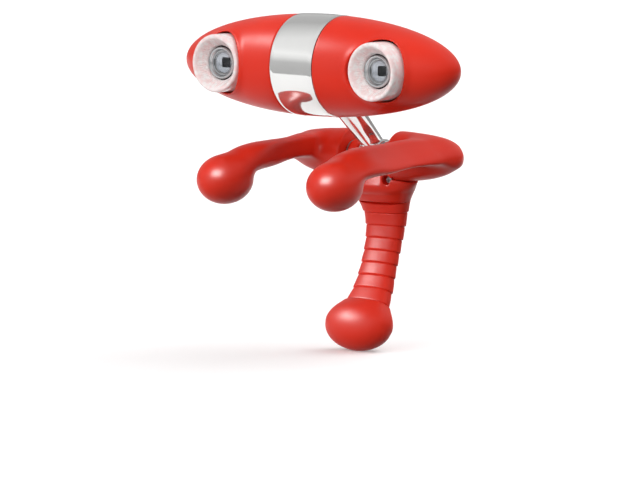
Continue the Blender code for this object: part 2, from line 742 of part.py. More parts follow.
clear_scene()
PARTS = new_collection("webcam_on_clip_stand")
CUTTERS = new_collection("cutters")
SIDES = (("left", -1), ("right", 1))
LOOKS = {
    "red": material("red_plastic", RED, 0.35),
    "red_rubber": material("red_rubber", RED, 0.45),
    "chrome": material("chrome", CHROME, 0.08, metallic=1.0),
    "grey": material("grey_metal", GREY_METAL, 0.3, metallic=1.0),
    "black": material("black_plastic", BLACK, 0.5),
    "rubber": material("black_rubber", BLACK, 0.8),
    "bezel": material("clear_bezel", PALE, 0.15, alpha=0.8),
    "board": material("board_green", GREEN, 0.4),
    "glass": material("lens_glass", GLASS, 0.05, alpha=0.35),
}
HUB = pivot("hub_pivot", location=(0, HUB_Y, HUB_Z))
LEG = pivot("leg_pivot", HUB)
POST = pivot("post_pivot", HUB, rotation=(POST_LEAN, 0, 0))
HEAD = pivot("head_pivot", POST, (0, 0, POST_LENGTH), (-POST_LEAN, 0, 0))
make_axle()
make_leg()
make_post()
make_band()
make_gland()
make_chassis()
for side_name, side_sign in SIDES:
    make_arm(side_name, side_sign)
    make_shell(side_name, side_sign)
    make_lens(side_name, side_sign)
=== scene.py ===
"""Looks for the stereo webcam on its folding clip stand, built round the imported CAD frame.

Shapes are worked out in millimetres. Most use one of two local frames that keep the row frame's axes:
the hub frame starts at the middle of the hub axle, the head frame at the middle of the tilt axle.
Turned pieces are made about a local Z axis and placed with a matrix.
"""

import math

import bmesh
import bpy
import numpy as np
from mathutils import Matrix, Vector


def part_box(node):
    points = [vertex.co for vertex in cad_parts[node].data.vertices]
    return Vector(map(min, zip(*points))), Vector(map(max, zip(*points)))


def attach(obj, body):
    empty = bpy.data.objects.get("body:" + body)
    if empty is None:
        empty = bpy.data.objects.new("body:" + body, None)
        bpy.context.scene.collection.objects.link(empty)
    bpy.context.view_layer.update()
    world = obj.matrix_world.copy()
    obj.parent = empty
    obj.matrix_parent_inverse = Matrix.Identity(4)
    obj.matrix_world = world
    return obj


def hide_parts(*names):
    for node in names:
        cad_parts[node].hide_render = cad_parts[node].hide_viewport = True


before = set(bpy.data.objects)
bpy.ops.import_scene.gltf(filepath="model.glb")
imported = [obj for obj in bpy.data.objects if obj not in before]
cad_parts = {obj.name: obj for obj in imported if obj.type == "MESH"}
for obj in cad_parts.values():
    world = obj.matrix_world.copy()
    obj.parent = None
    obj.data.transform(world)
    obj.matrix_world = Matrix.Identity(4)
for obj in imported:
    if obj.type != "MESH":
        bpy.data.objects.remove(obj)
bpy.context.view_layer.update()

MM = 0.001
SIDES = (("left", -1), ("right", 1))


def middle(node):
    low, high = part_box(node)
    return (low + high) / 2


HUB = middle("hub_axle")
HEAD = middle("tilt_axle")
FLOOR_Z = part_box("leg_foot")[0].z

# ---------------------------------------------------------------- camera, lights and floor

VIEW_AZIMUTH = math.radians(38.9)
VIEW_ELEVATION = math.radians(5.4)
VIEW_DISTANCE = 2.135
LENS_MM = 400.0
AIM_BELOW_HEAD = 0.0525
AIM_LEFT_OF_HEAD = 0.0006


def view_direction(azimuth, elevation):
    return Vector(
        (
            math.sin(azimuth) * math.cos(elevation),
            -math.cos(azimuth) * math.cos(elevation),
            math.sin(elevation),
        )
    )


def aim(thing, spot, target):
    """Stands a lamp or camera at a spot and points it at a target."""
    thing.location = spot
    thing.rotation_euler = (target - spot).to_track_quat("-Z", "Y").to_euler()


def add_camera():
    towards = view_direction(VIEW_AZIMUTH, VIEW_ELEVATION)
    right = Vector((0, 0, 1)).cross(towards).normalized()
    up = towards.cross(right)
    target = HEAD - right * AIM_LEFT_OF_HEAD - up * AIM_BELOW_HEAD
    data = bpy.data.cameras.new("camera")
    data.lens = LENS_MM
    data.clip_start = 0.01
    data.clip_end = 50.0
    camera = bpy.data.objects.new("camera", data)
    bpy.context.scene.collection.objects.link(camera)
    aim(camera, target + towards * VIEW_DISTANCE, target)
    bpy.context.scene.camera = camera


SOFTBOX_DISTANCE = 0.7


def add_softbox(name, direction, width, height, power, receivers):
    """A rectangular lamp that shows only as a highlight, on the pieces it is meant for."""
    data = bpy.data.lights.new(name, "AREA")
    data.shape = "RECTANGLE"
    data.size = width
    data.size_y = height
    data.energy = power
    lamp = bpy.data.objects.new(name, data)
    lamp.visible_diffuse = False
    bpy.context.scene.collection.objects.link(lamp)
    lit = bpy.data.collections.new(name + "_receivers")
    for receiver in receivers:
        lit.objects.link(bpy.data.objects[receiver])
    lamp.light_linking.receiver_collection = lit
    target = (HEAD + HUB) / 2
    aim(lamp, target + Vector(direction).normalized() * SOFTBOX_DISTANCE, target)


# Soft fill from all round the room: azimuth and elevation in degrees, and strength.
FILL_SPREAD = 60.0
FILLS = (
    (0, 8, 1.24),
    (135, 35, 1.00),
    (315, 8, 0.97),
    (180, 35, 0.80),
    (180, 62, 0.76),
    (45, 35, 0.63),
    (90, 62, 0.56),
    (0, 35, 0.56),
    (270, -35, 0.19),
    (0, -35, 0.20),
)


def add_fills():
    """Wide soft lamps that light the surfaces but make no highlights."""
    for index, (azimuth, elevation, strength) in enumerate(FILLS):
        data = bpy.data.lights.new("fill_" + str(index), "SUN")
        data.energy = strength
        data.angle = math.radians(FILL_SPREAD)
        lamp = bpy.data.objects.new(data.name, data)
        lamp.visible_glossy = False
        lamp.visible_transmission = False
        bpy.context.scene.collection.objects.link(lamp)
        direction = view_direction(math.radians(azimuth), math.radians(elevation))
        aim(lamp, direction, Vector((0, 0, 0)))


# Brightness of the room in reflections, by the height of the direction: straight down to straight up.
ROOM = (
    (0.0, 0.4),
    (0.47, 0.5),
    (0.55, 0.55),
    (0.62, 0.92),
    (0.68, 1.1),
    (0.75, 0.96),
    (0.86, 0.88),
    (1.0, 0.8),
)
ROOM_BEHIND = 0.5  # share of that brightness behind the webcam
ROOM_TURN = (-0.35, 0.3)  # the share takes over between these Y values of the direction


def ranged(tree, source, low, high, first, second):
    """Maps low-high of a value onto first-second."""
    node = tree.nodes.new("ShaderNodeMapRange")
    sockets = ("From Min", "From Max", "To Min", "To Max")
    for socket, value in zip(sockets, (low, high, first, second)):
        node.inputs[socket].default_value = value
    tree.links.new(source, node.inputs["Value"])
    return node.outputs["Result"]


def add_world():
    world = bpy.data.worlds.new("studio")
    bpy.context.scene.world = world
    world.use_nodes = True
    world.cycles_visibility.diffuse = False
    tree = world.node_tree
    parts = tree.nodes.new("ShaderNodeSeparateXYZ")
    place = tree.nodes.new("ShaderNodeTexCoord").outputs["Generated"]
    tree.links.new(place, parts.inputs["Vector"])
    ramp = tree.nodes.new("ShaderNodeValToRGB")
    tree.links.new(ranged(tree, parts.outputs["Z"], -1, 1, 0, 1), ramp.inputs["Fac"])
    stops = ramp.color_ramp.elements
    stops.remove(stops[1])
    for index, (spot, level) in enumerate(ROOM):
        stop = stops[0] if index == 0 else stops.new(spot)
        stop.position = spot
        stop.color = (level, level, level, 1)
    background = tree.nodes["Background"]
    tree.links.new(ramp.outputs["Color"], background.inputs["Color"])
    strength = ranged(tree, parts.outputs["Y"], *ROOM_TURN, 1, ROOM_BEHIND)
    tree.links.new(strength, background.inputs["Strength"])


FLOOR_FRONT_Y = -0.26  # front edge of the floor's mirrored part
FLOOR_REACH = 9.0


def add_floor():
    """A pale floor all round. Only its part behind the front edge shows in reflections."""
    for name, front, back, mirrored in (
        ("floor", FLOOR_FRONT_Y, FLOOR_REACH, True),
        ("floor_ahead", -FLOOR_REACH, FLOOR_FRONT_Y, False),
    ):
        mesh = bpy.data.meshes.new(name)
        corners = [
            (x, y, 0) for x, y in (
                (-FLOOR_REACH, front), (FLOOR_REACH, front), (FLOOR_REACH, back), (-FLOOR_REACH, back),
            )
        ]
        mesh.from_pydata(corners, [], [(0, 1, 2, 3)])
        floor = bpy.data.objects.new(name, mesh)
        floor.location = (0, 0, FLOOR_Z)
        floor.visible_diffuse = False
        floor.visible_shadow = False
        floor.visible_glossy = mirrored
        bpy.context.scene.collection.objects.link(floor)
        mesh.materials.append(FLOOR_LOOK)


# ---------------------------------------------------------------- materials


class Shader:
    """A Principled material with helpers that wire procedural detail into it."""

    def __init__(self, name, roughness, metallic=0.0, **sockets):
        self.material = bpy.data.materials.new(name)
        self.material.use_nodes = True
        self.tree = self.material.node_tree
        self.shader = self.tree.nodes["Principled BSDF"]
        self.set("Roughness", roughness)
        self.set("Metallic", metallic)
        for socket, value in sockets.items():
            self.set(socket.replace("_", " "), value)
        self.place = self.tree.nodes.new("ShaderNodeTexCoord").outputs["Object"]

    def set(self, socket, value):
        self.shader.inputs[socket].default_value = value

    def link(self, out, into):
        self.tree.links.new(out, into)

    def noise(self, scale, detail=2.0, stretch=(1, 1, 1)):
        texture = self.tree.nodes.new("ShaderNodeTexNoise")
        texture.inputs["Scale"].default_value = scale
        texture.inputs["Detail"].default_value = detail
        source = self.place
        if stretch != (1, 1, 1):
            mapping = self.tree.nodes.new("ShaderNodeMapping")
            mapping.inputs["Scale"].default_value = stretch
            self.link(source, mapping.inputs["Vector"])
            source = mapping.outputs["Vector"]
        self.link(source, texture.inputs["Vector"])
        return texture.outputs["Fac"]

    def spread(self, source, low, high, start=0.3, end=0.7):
        """Maps the start-end part of a pattern onto low-high."""
        return ranged(self.tree, source, start, end, low, high)

    def tint(self, source, first, second, start=0.3, end=0.7):
        """Base colour between two colours by a 0-1 pattern."""
        mix = self.tree.nodes.new("ShaderNodeMix")
        mix.data_type = "RGBA"
        mix.inputs["A"].default_value = (*first, 1)
        mix.inputs["B"].default_value = (*second, 1)
        self.link(self.spread(source, 0, 1, start, end), mix.inputs["Factor"])
        self.link(mix.outputs["Result"], self.shader.inputs["Base Color"])

    def rough(self, source, low, high):
        self.link(self.spread(source, low, high), self.shader.inputs["Roughness"])

    def bump(self, source, strength, depth):
        bump = self.tree.nodes.new("ShaderNodeBump")
        bump.inputs["Strength"].default_value = strength
        bump.inputs["Distance"].default_value = depth
        self.link(source, bump.inputs["Height"])
        self.link(bump.outputs["Normal"], self.shader.inputs["Normal"])


PLASTIC_GRAIN = 2600  # noise scale of the moulded surface's fine texture
PLASTIC_GRAIN_DEPTH = 0.02 * MM
PLASTIC_SPECULAR = 0.22
CHROME_METALLIC = 0.88


def plastic(name, first, second, roughness):
    made = Shader(name, roughness)
    made.tint(made.noise(45, 3), first, second)
    made.rough(made.noise(160, 4), roughness * 0.93, roughness * 1.07)
    made.bump(made.noise(PLASTIC_GRAIN, 2), 0.25, PLASTIC_GRAIN_DEPTH)
    made.set("Specular IOR Level", PLASTIC_SPECULAR)
    return made.material


def metal(name, first, second, roughness, brush=(1, 1, 1), metallic=1.0):
    made = Shader(name, roughness, metallic)
    made.tint(made.noise(80, 3), first, second)
    made.rough(made.noise(900, 3, brush), roughness * 0.75, roughness * 1.25)
    return made.material


RED_PLASTIC = plastic("red_plastic", (0.74, 0.024, 0.008), (0.80, 0.030, 0.011), 0.36)
RED_RUBBER = plastic("red_rubber", (0.72, 0.024, 0.009), (0.78, 0.030, 0.012), 0.42)
CHROME = metal("chrome", (0.80, 0.80, 0.79), (0.84, 0.84, 0.83), 0.07, metallic=CHROME_METALLIC)
GREY_METAL = metal("grey_metal", (0.46, 0.47, 0.48), (0.56, 0.57, 0.58), 0.26, brush=(1, 12, 12))
BLACK_PLASTIC = plastic("black_plastic", (0.012, 0.012, 0.013), (0.02, 0.02, 0.022), 0.42)
BLACK_RUBBER = plastic("black_rubber", (0.016, 0.016, 0.017), (0.026, 0.026, 0.027), 0.72)
BOARD_GREEN = plastic("board_green", (0.012, 0.10, 0.045), (0.02, 0.14, 0.06), 0.35)


def bezel_look():
    made = Shader(
        "clear_bezel",
        0.14,
        IOR=1.49,
        Transmission_Weight=0.05,
        Coat_Weight=0.3,
        Coat_Roughness=0.05,
        # The emission is a painted glow: a faint pinkish light that brightens the bezel, though the bezel is
        # no lamp.
        Emission_Color=(1.0, 0.86, 0.85, 1),
        Emission_Strength=0.06,
    )
    made.tint(made.noise(620, 3), (0.93, 0.70, 0.69), (0.95, 0.90, 0.89), 0.38, 0.62)
    made.bump(made.noise(520, 2), 0.3, 0.10 * MM)
    return made.material


def glass_look():
    made = Shader("lens_glass", 0.0, IOR=1.2, Transmission_Weight=1.0)
    made.tint(made.noise(120, 1), (0.90, 0.93, 0.97), (0.96, 0.97, 1.0))
    return made.material


def floor_look():
    made = Shader("floor_white", 0.85, Emission_Color=(1, 1, 1, 1), Emission_Strength=0.2)
    made.tint(made.noise(6, 2), (0.90, 0.90, 0.90), (0.92, 0.92, 0.92))
    made.set("Specular IOR Level", 0.2)
    return made.material


CLEAR_BEZEL = bezel_look()
LENS_GLASS = glass_look()
FLOOR_LOOK = floor_look()

SLOT_LOOKS = {
    "red_plastic": RED_PLASTIC,
    "red_rubber": RED_RUBBER,
    "chrome": CHROME,
    "grey_metal": GREY_METAL,
    "black_plastic": BLACK_PLASTIC,
    "black_rubber": BLACK_RUBBER,
    "clear_bezel": CLEAR_BEZEL,
    "board_green": BOARD_GREEN,
    "lens_glass": LENS_GLASS,
}

# ---------------------------------------------------------------- pieces from vertices and faces

SHARP_ANGLE = math.radians(40)


def piece(name, points, faces, body, look, nodes, sharp=SHARP_ANGLE):
    """A mesh in row metres that rides on a body and stands for CAD nodes. look is a material slot's name."""
    mesh = bpy.data.meshes.new(name)
    mesh.from_pydata([tuple(p) for p in points], [], [tuple(f) for f in faces])
    mesh_data = bmesh.new()
    mesh_data.from_mesh(mesh)
    bmesh.ops.recalc_face_normals(mesh_data, faces=mesh_data.faces)
    mesh_data.to_mesh(mesh)
    mesh_data.free()
    mesh.shade_smooth()
    if sharp:
        mesh.set_sharp_from_angle(angle=sharp)
    mesh.materials.append(SLOT_LOOKS[look])
    made = bpy.data.objects.new(name, mesh)
    bpy.context.scene.collection.objects.link(made)
    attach(made, body)
    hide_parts(*nodes)
    return made


ROUNDING_STEPS = 4


def rounded(profile, radius):
    """A closed (radius, height) profile with its corners rounded; corners on the axis stay."""
    count = len(profile)
    out = []
    for i in range(count):
        here = Vector(profile[i])
        before = Vector(profile[i - 1]) - here
        after = Vector(profile[(i + 1) % count]) - here
        if here.x <= 0 or before.length == 0 or after.length == 0:
            out.append(tuple(here))
            continue
        reach = min(radius, before.length * 0.45, after.length * 0.45)
        start = here + before.normalized() * reach
        end = here + after.normalized() * reach
        for step in range(ROUNDING_STEPS + 1):
            t = step / ROUNDING_STEPS
            out.append(tuple(start * (1 - t) ** 2 + here * (2 * t * (1 - t)) + end * t**2))
    return out


def lathe_mesh(profile, steps, ripple=None):
    """Points and faces of a closed profile turned about Z. ripple(index, angle) adds to a point's radius."""
    points, faces, rings = [], [], []
    for index, (radius, height) in enumerate(profile):
        if radius < 1e-6:
            rings.append([len(points)] * steps)
            points.append((0.0, 0.0, height))
            continue
        ring = []
        for step in range(steps):
            angle = 2 * math.pi * step / steps
            r = radius + (ripple(index, angle) if ripple else 0.0)
            ring.append(len(points))
            points.append((r * math.cos(angle), r * math.sin(angle), height))
        rings.append(ring)
    for first, second in zip(rings, rings[1:] + rings[:1]):
        for step in range(steps):
            after = (step + 1) % steps
            face = list(dict.fromkeys((first[step], first[after], second[after], second[step])))
            if len(face) > 2:
                faces.append(face)
    return points, faces


def looped_faces(rings, sides):
    """Quads between rings of points, with the last ring joined to the first."""
    faces = []
    for i in range(rings):
        first, second = i * sides, ((i + 1) % rings) * sides
        for j in range(sides):
            k = (j + 1) % sides
            faces.append((first + j, first + k, second + k, second + j))
    return faces


def placed(points, matrix):
    """Local millimetres to row metres."""
    return [matrix @ (Vector(p) * MM) for p in points]


ALONG_X = Matrix.Rotation(math.pi / 2, 4, "Y")  # local Z becomes +X
LENSWARD = Matrix.Rotation(math.pi / 2, 4, "X")  # local Z becomes -Y
REARWARD = Matrix.Rotation(-math.pi / 2, 4, "X")  # local Z becomes +Y
DOWNWARD = Matrix.Rotation(math.pi, 4, "X")  # local Z becomes -Z


def turned(name, profile, matrix, body, look, nodes, steps=96, ripple=None, sharp=SHARP_ANGLE):
    points, faces = lathe_mesh(profile, steps, ripple)
    return piece(name, placed(points, matrix), faces, body, look, nodes, sharp)


# ---------------------------------------------------------------- pieces from distance fields


def surface_net(field, low, high, pitch):
    """Points and quads of the surface where a field crosses zero, on a grid of cells."""
    axes = [np.arange(low[k], high[k] + pitch, pitch) for k in range(3)]
    grid = np.stack(np.meshgrid(*axes, indexing="ij"), axis=-1)
    inside = (field(grid.reshape(-1, 3)) < 0).reshape(grid.shape[:3])
    cells = np.array(inside.shape) - 1
    filled = np.zeros(cells, int)
    for i in (0, 1):
        for j in (0, 1):
            for k in (0, 1):
                filled += inside[i : cells[0] + i, j : cells[1] + j, k : cells[2] + k]
    mixed = (filled > 0) & (filled < 8)
    index = np.full(cells, -1)
    index[mixed] = np.arange(mixed.sum())
    points = np.array(low) + (np.argwhere(mixed) + 0.5) * pitch
    faces = []
    for axis in range(3):
        u, v = (axis + 1) % 3, (axis + 2) % 3
        here = inside.take(range(cells[axis]), axis)
        ahead = inside.take(range(1, cells[axis] + 1), axis)
        edges = np.argwhere(here != ahead)
        low_enough = (edges[:, u] < cells[u]) & (edges[:, v] < cells[v])
        edges = edges[(edges[:, u] > 0) & (edges[:, v] > 0) & low_enough]
        outward = here[tuple(edges.T)]
        corners = []
        for du, dv in ((-1, -1), (0, -1), (0, 0), (-1, 0)):
            cell = edges.copy()
            cell[:, u] += du
            cell[:, v] += dv
            corners.append(index[tuple(cell.T)])
        quads = np.stack(corners, axis=1)
        quads[~outward] = quads[~outward][:, ::-1]
        faces.append(quads)
    return points, np.concatenate(faces)


SLOPE_STEP = 0.02  # half of the span over which a field's slope is measured


def settle(points, field, pitch, rounds=5):
    """Moves points onto the surface where the field is zero."""
    step = SLOPE_STEP
    for _ in range(rounds):
        value = field(points)
        slope = np.stack(
            [(field(points + e) - field(points - e)) / (2 * step) for e in np.eye(3) * step], axis=1
        )
        size = np.maximum((slope**2).sum(axis=1), 0.05)
        move = -(value / size)[:, None] * slope
        length = np.linalg.norm(move, axis=1, keepdims=True)
        points = points + move * np.minimum(1.0, 0.6 * pitch / np.maximum(length, 1e-9))
    return points


def relaxed(points, faces, share=0.5):
    """Points moved part of the way to the middle of their neighbours."""
    total = np.zeros_like(points)
    count = np.zeros(len(points))
    for i in range(4):
        for j in ((i + 1) % 4, (i + 3) % 4):
            np.add.at(total, faces[:, i], points[faces[:, j]])
            np.add.at(count, faces[:, i], 1)
    return points + share * (total / np.maximum(count, 1)[:, None] - points)


def even_net(field, low, high, pitch, passes):
    """The surface of a field, with its points evened out and set back on the surface in each pass."""
    points, faces = surface_net(field, low, high, pitch)
    points = settle(points, field, pitch)
    for _ in range(passes):
        points = settle(relaxed(points, faces), field, pitch, rounds=3)
    return points, faces


def sculpted(name, field, low, high, pitch, origin, body, look, nodes, mirror=False):
    """A piece whose surface is a field's zero level, in millimetres from an origin in row metres."""
    points, faces = even_net(field, low, high, pitch, passes=3)
    if mirror:
        points = points * np.array((-1, 1, 1))
    piece(name, points * MM + np.array(origin), faces, body, look, nodes, sharp=None)


def sculpted_at(name, field, low, high, pitch, matrix, body, look, nodes):
    """A sculpted piece whose field has its own local frame."""
    points, faces = even_net(field, low, high, pitch, passes=2)
    piece(name, placed(points, matrix), faces, body, look, nodes, sharp=math.radians(50))


def smooth_min(a, b, blend):
    share = np.clip(0.5 + 0.5 * (b - a) / blend, 0, 1)
    return b * (1 - share) + a * share - blend * share * (1 - share)


def smooth_max(a, b, blend):
    return -smooth_min(-a, -b, blend)


def ellipsoid(p, centre, radii):
    scaled = (p - np.array(centre)) / np.array(radii)
    near = np.linalg.norm(scaled, axis=1)
    far = np.linalg.norm(scaled / np.array(radii), axis=1)
    return near * (near - 1) / np.maximum(far, 1e-9)


def around(p, centre, axis):
    """Distance from a line along one axis."""
    u, v = (axis + 1) % 3, (axis + 2) % 3
    return np.hypot(p[:, u] - centre[u], p[:, v] - centre[v])


def slab(p, axis, low, high):
    return np.maximum(low - p[:, axis], p[:, axis] - high)


def superellipse(across, up, half_width, half_height, squareness):
    g = np.abs(across / half_width) ** squareness + np.abs(up / half_height) ** squareness
    return (g ** (1 / squareness) - 1) * np.minimum(half_width, half_height)


def spline(rows, position):
    """Catmull-Rom value at a position between 0 and len(rows) - 1 in a list of equal rows."""
    last = len(rows) - 1
    i = min(int(position), last - 1)
    t = position - i
    before, here, there, after = (rows[max(0, min(last, i + k))] for k in (-1, 0, 1, 2))
    return tuple(
        0.5 * (2 * b + (c - a) * t + (2 * a - 5 * b + 4 * c - d) * t**2 + (3 * b - a - 3 * c + d) * t**3)
        for a, b, c, d in zip(before, here, there, after)
    )


def dense(rows, steps=12):
    """The spline through rows, as an array with its first column rising."""
    count = (len(rows) - 1) * steps
    table = np.array([spline(rows, i / steps) for i in range(count + 1)])
    return table[np.argsort(table[:, 0])]


# ---------------------------------------------------------------- arms

HUB_RADIUS = 7.5
HUB_FACE = 9.0
HUB_CORNER = 9.4
HUB_REACH = 22.7
HUB_FULLNESS = 2.1
KNOB_CENTRE = (21.1, -46.5, -5.6)
KNOB_RADII = (7.7, 9.7, 7.5)

# y, centre x, half width, top z and bottom z in the hub frame.
ARM_STATIONS = (
    (6.2, 24.0, 1.0, 2.0, 0.6),
    (5.5, 24.0, 3.6, 3.6, -0.5),
    (3.9, 24.0, 5.0, 4.7, -1.1),
    (1.5, 24.0, 5.7, 5.4, -1.3),
    (-2.0, 24.0, 6.2, 5.9, -1.4),
    (-7.0, 24.1, 6.6, 6.1, -1.2),
    (-13.0, 23.8, 6.2, 6.0, -0.9),
    (-20.0, 23.2, 6.0, 5.5, -1.3),
    (-28.0, 22.4, 6.5, 5.3, -2.7),
    (-35.0, 21.8, 7.1, 4.9, -3.8),
    (-41.0, 21.3, 7.2, 3.7, -5.4),
    (-46.4, 21.1, 6.4, 1.4, -7.6),
    (-50.0, 21.1, 4.4, -1.3, -7.8),
)
ARM_TABLE = dense(ARM_STATIONS)
BELLY_DROP = 0.5  # the arm's underside is this much lower along its outer edge
HUB_ENDS_Y = -18.0  # the arm's section changes from the hub to here
KNOB_STARTS_Y = -18.0  # and from here, over this length, towards the knob
KNOB_EASE = 26.0
BAR_SPARE = 0.4  # the bar's plain section is this much wider than the stations say
RIDGE_IN = 2.6  # the ridge on top runs this far outside the arm's inner side
BAR_END_Y = (-49.0, 5.6)
HUB_BLEND = 2.6
KNOB_BLEND = 2.0


def eased(share):
    """A 0-1 step with soft ends."""
    share = np.clip(share, 0, 1)
    return share * share * (3 - 2 * share)


def arm_field(p):
    """The right arm: a bar with a ridge, an outer slope and a crease under it, its hub half and its knob."""
    y = p[:, 1]
    x, half_width, top, bottom = (np.interp(y, ARM_TABLE[:, 0], ARM_TABLE[:, k]) for k in (1, 2, 3, 4))
    near_hub = eased((y - HUB_ENDS_Y) / -HUB_ENDS_Y)
    near_knob = eased((KNOB_STARTS_Y - y) / KNOB_EASE)
    squareness = 4.0 - 1.9 * near_knob
    half_height = (top - bottom) / 2 + 1.2 * (1 - near_knob)
    up = p[:, 2] - (top + bottom) / 2
    bar = superellipse(p[:, 0] - x, up, half_width + BAR_SPARE, half_height, squareness)
    drop = BELLY_DROP * (1 - near_hub) * (1 - near_knob)
    belly = bottom - drop * (p[:, 0] - x + half_width) / (2 * half_width)
    ridge_x, ridge_z = x - half_width + RIDGE_IN, top + 0.5
    crease_x, crease_z = x + half_width + BAR_SPARE, bottom - drop + 0.1
    run, fall = crease_x - ridge_x, ridge_z - crease_z
    slope = ((p[:, 0] - ridge_x) * fall + (p[:, 2] - ridge_z) * run) / np.hypot(run, fall)
    bar = smooth_max(bar, slope - 0.2 - 2.5 * near_hub - 3.0 * near_knob, 1.8)
    bar = smooth_max(bar, p[:, 2] - top - 0.1, 1.4)
    bar = smooth_max(bar, belly - p[:, 2] - 0.1, 0.7 + near_knob)
    bar = smooth_max(bar, slab(p, 1, *BAR_END_Y), 0.5)
    rho = around(p, (0, 0, 0), 0) / HUB_RADIUS
    out = np.maximum(p[:, 0] - HUB_CORNER, 0) / HUB_REACH
    hub = (np.sqrt(rho**2 + out**HUB_FULLNESS) - 1) * HUB_RADIUS
    whole = smooth_min(bar, hub, HUB_BLEND)
    whole = smooth_min(whole, ellipsoid(p, KNOB_CENTRE, KNOB_RADII), KNOB_BLEND)
    return smooth_max(whole, HUB_FACE - p[:, 0], 0.7)


def make_arms():
    for side, sign in SIDES:
        sculpted(
            side + "_arm_skin",
            arm_field,
            (8.0, -57.5, -14.5),
            (34.0, 9.5, 9.5),
            0.45,
            HUB,
            "arm_frame",
            "red_plastic",
            [side + "_arm"],
            mirror=sign < 0,
        )


# ---------------------------------------------------------------- rear leg

# y and z of the middle, half width and half depth, in the hub frame.
LEG_STATIONS = (
    (0.6, -4.2, 14.6, 4.6),
    (1.4, -7.5, 14.4, 5.6),
    (2.8, -10.5, 12.2, 5.0),
    (4.1, -14.5, 9.2, 4.0),
    (4.7, -18.5, 7.7, 3.4),
    (4.5, -22.5, 6.9, 3.2),
    (3.6, -27.0, 6.4, 3.1),
    (2.2, -31.5, 6.3, 3.1),
    (0.6, -36.0, 6.4, 3.1),
    (-1.5, -41.0, 6.9, 3.3),
    (-4.6, -46.0, 7.5, 3.6),
    (-8.0, -51.0, 6.4, 3.5),
)
FOOT_CENTRE = (0.0, -8.6, -51.5)
FOOT_RADII = (11.7, 7.2, 7.75)
NECK_LENGTH = 5.0
FOOT_BLEND = 3.5
SLEEVE_FROM = 2.96
SLEEVE_TO = 9.93
SLEEVE_WALL = 1.3
FIRST_RIB_Z = -14.4
RIB_PITCH = 3.65
SLEEVE_RINGS = 260
BORE_RINGS = 24
SECTION_SIDES = 96
LEG_SQUARENESS = 2.3
CORE_EDGE_Z = -14.5  # the sleeve covers the core below this height
CORE_INSET = 1.4  # the core is this much thinner there
CORE_ENDS_Z = (-18.0, -4.4)
LUG_RADIUS = 4.2
LUG_OUTER = 8.2
LUG_INNER = 4.4
SADDLE_RADIUS = 7.8  # room in the core for the arms' hub
WELL_RADIUS = 5.1  # room between the lugs for the post's knuckle
SWING = (math.radians(22), math.radians(232))  # the post's slot through the core lies between these
CLAMP_RECESS = (6.5, -7.3)
CLAMP_RECESS_RADIUS = 1.45
CLAMP_RECESS_BACK = -1.2


def leg_frame(position):
    """Middle, depthwise direction, half width and half depth of the leg at a station position."""
    y, z, half_width, half_depth = spline(LEG_STATIONS, position)
    ahead = spline(LEG_STATIONS, min(position + 0.05, len(LEG_STATIONS) - 1))
    behind = spline(LEG_STATIONS, max(position - 0.05, 0))
    along = Vector((0, ahead[0] - behind[0], ahead[1] - behind[1])).normalized()
    return Vector((0, y, z)), Vector((0, along.z, -along.y)), half_width, half_depth


def leg_section(position, grow):
    centre, depthwise, half_width, half_depth = leg_frame(position)
    ring = []
    for step in range(SECTION_SIDES):
        angle = 2 * math.pi * step / SECTION_SIDES
        c, s = math.cos(angle), math.sin(angle)
        u = math.copysign(abs(c) ** (2 / LEG_SQUARENESS), c) * (half_width + grow)
        v = math.copysign(abs(s) ** (2 / LEG_SQUARENESS), s) * (half_depth + grow)
        ring.append(centre + Vector((1, 0, 0)) * u + depthwise * v)
    return ring


def rib_height(position):
    """How far the sleeve stands out at a station position: each rib flares downwards to a small step."""
    centre, depthwise, _, half_depth = leg_frame(position)
    front_z = centre.z + depthwise.z * half_depth
    turns = (FIRST_RIB_Z - front_z) / RIB_PITCH
    if turns < 0:
        return 0.0
    phase = turns % 1.0
    stops = (0.0, 0.07, 0.3, 0.7, 0.9, 0.96, 1.0)
    heights = (-0.30, -0.06, 0.05, 0.16, 0.20, 0.12, -0.30)
    return float(np.interp(phase, stops, heights))


def make_sleeve():
    """The ribbed outside from top to bottom, then the plain bore back up."""
    loop = []
    for i in range(SLEEVE_RINGS + 1):
        position = SLEEVE_FROM + (SLEEVE_TO - SLEEVE_FROM) * i / SLEEVE_RINGS
        loop.append(leg_section(position, rib_height(position)))
    for i in range(BORE_RINGS, -1, -1):
        position = SLEEVE_FROM + (SLEEVE_TO - SLEEVE_FROM) * i / BORE_RINGS
        loop.append(leg_section(position, -SLEEVE_WALL))
    points = placed([point for ring in loop for point in ring], Matrix.Translation(HUB))
    faces = looped_faces(len(loop), SECTION_SIDES)
    piece("leg_sleeve_skin", points, faces, "rear_leg", "red_rubber", ["leg_sleeve"])


LEG_STEPS = 220


def leg_stations_table():
    """Middle, direction, half width and half depth at even steps along the leg."""
    rows = []
    for i in range(LEG_STEPS + 1):
        position = (len(LEG_STATIONS) - 1) * i / LEG_STEPS
        centre, depthwise, half_width, half_depth = leg_frame(position)
        rows.append((centre.y, centre.z, depthwise.y, depthwise.z, half_width, half_depth))
    return np.array(rows)


LEG_TABLE = leg_stations_table()
LEG_STEP_LENGTH = 0.22  # about the length of one step along the leg


def along_leg(p):
    """Depthwise offset, half width and half depth at the leg section that each point lies on."""
    steps = np.arange(LEG_STEPS + 1)

    def section(at):
        return (np.interp(at, steps, LEG_TABLE[:, k]) for k in range(6))

    at = np.interp(-p[:, 2], -LEG_TABLE[:, 1], steps)
    for _ in range(4):
        y, z, dy, dz, half_width, half_depth = section(at)
        ahead = (p[:, 1] - y) * -dz + (p[:, 2] - z) * dy
        at = np.clip(at + ahead / LEG_STEP_LENGTH, 0, LEG_STEPS)
    y, z, dy, dz, half_width, half_depth = section(at)
    return (p[:, 1] - y) * dy + (p[:, 2] - z) * dz, half_width, half_depth


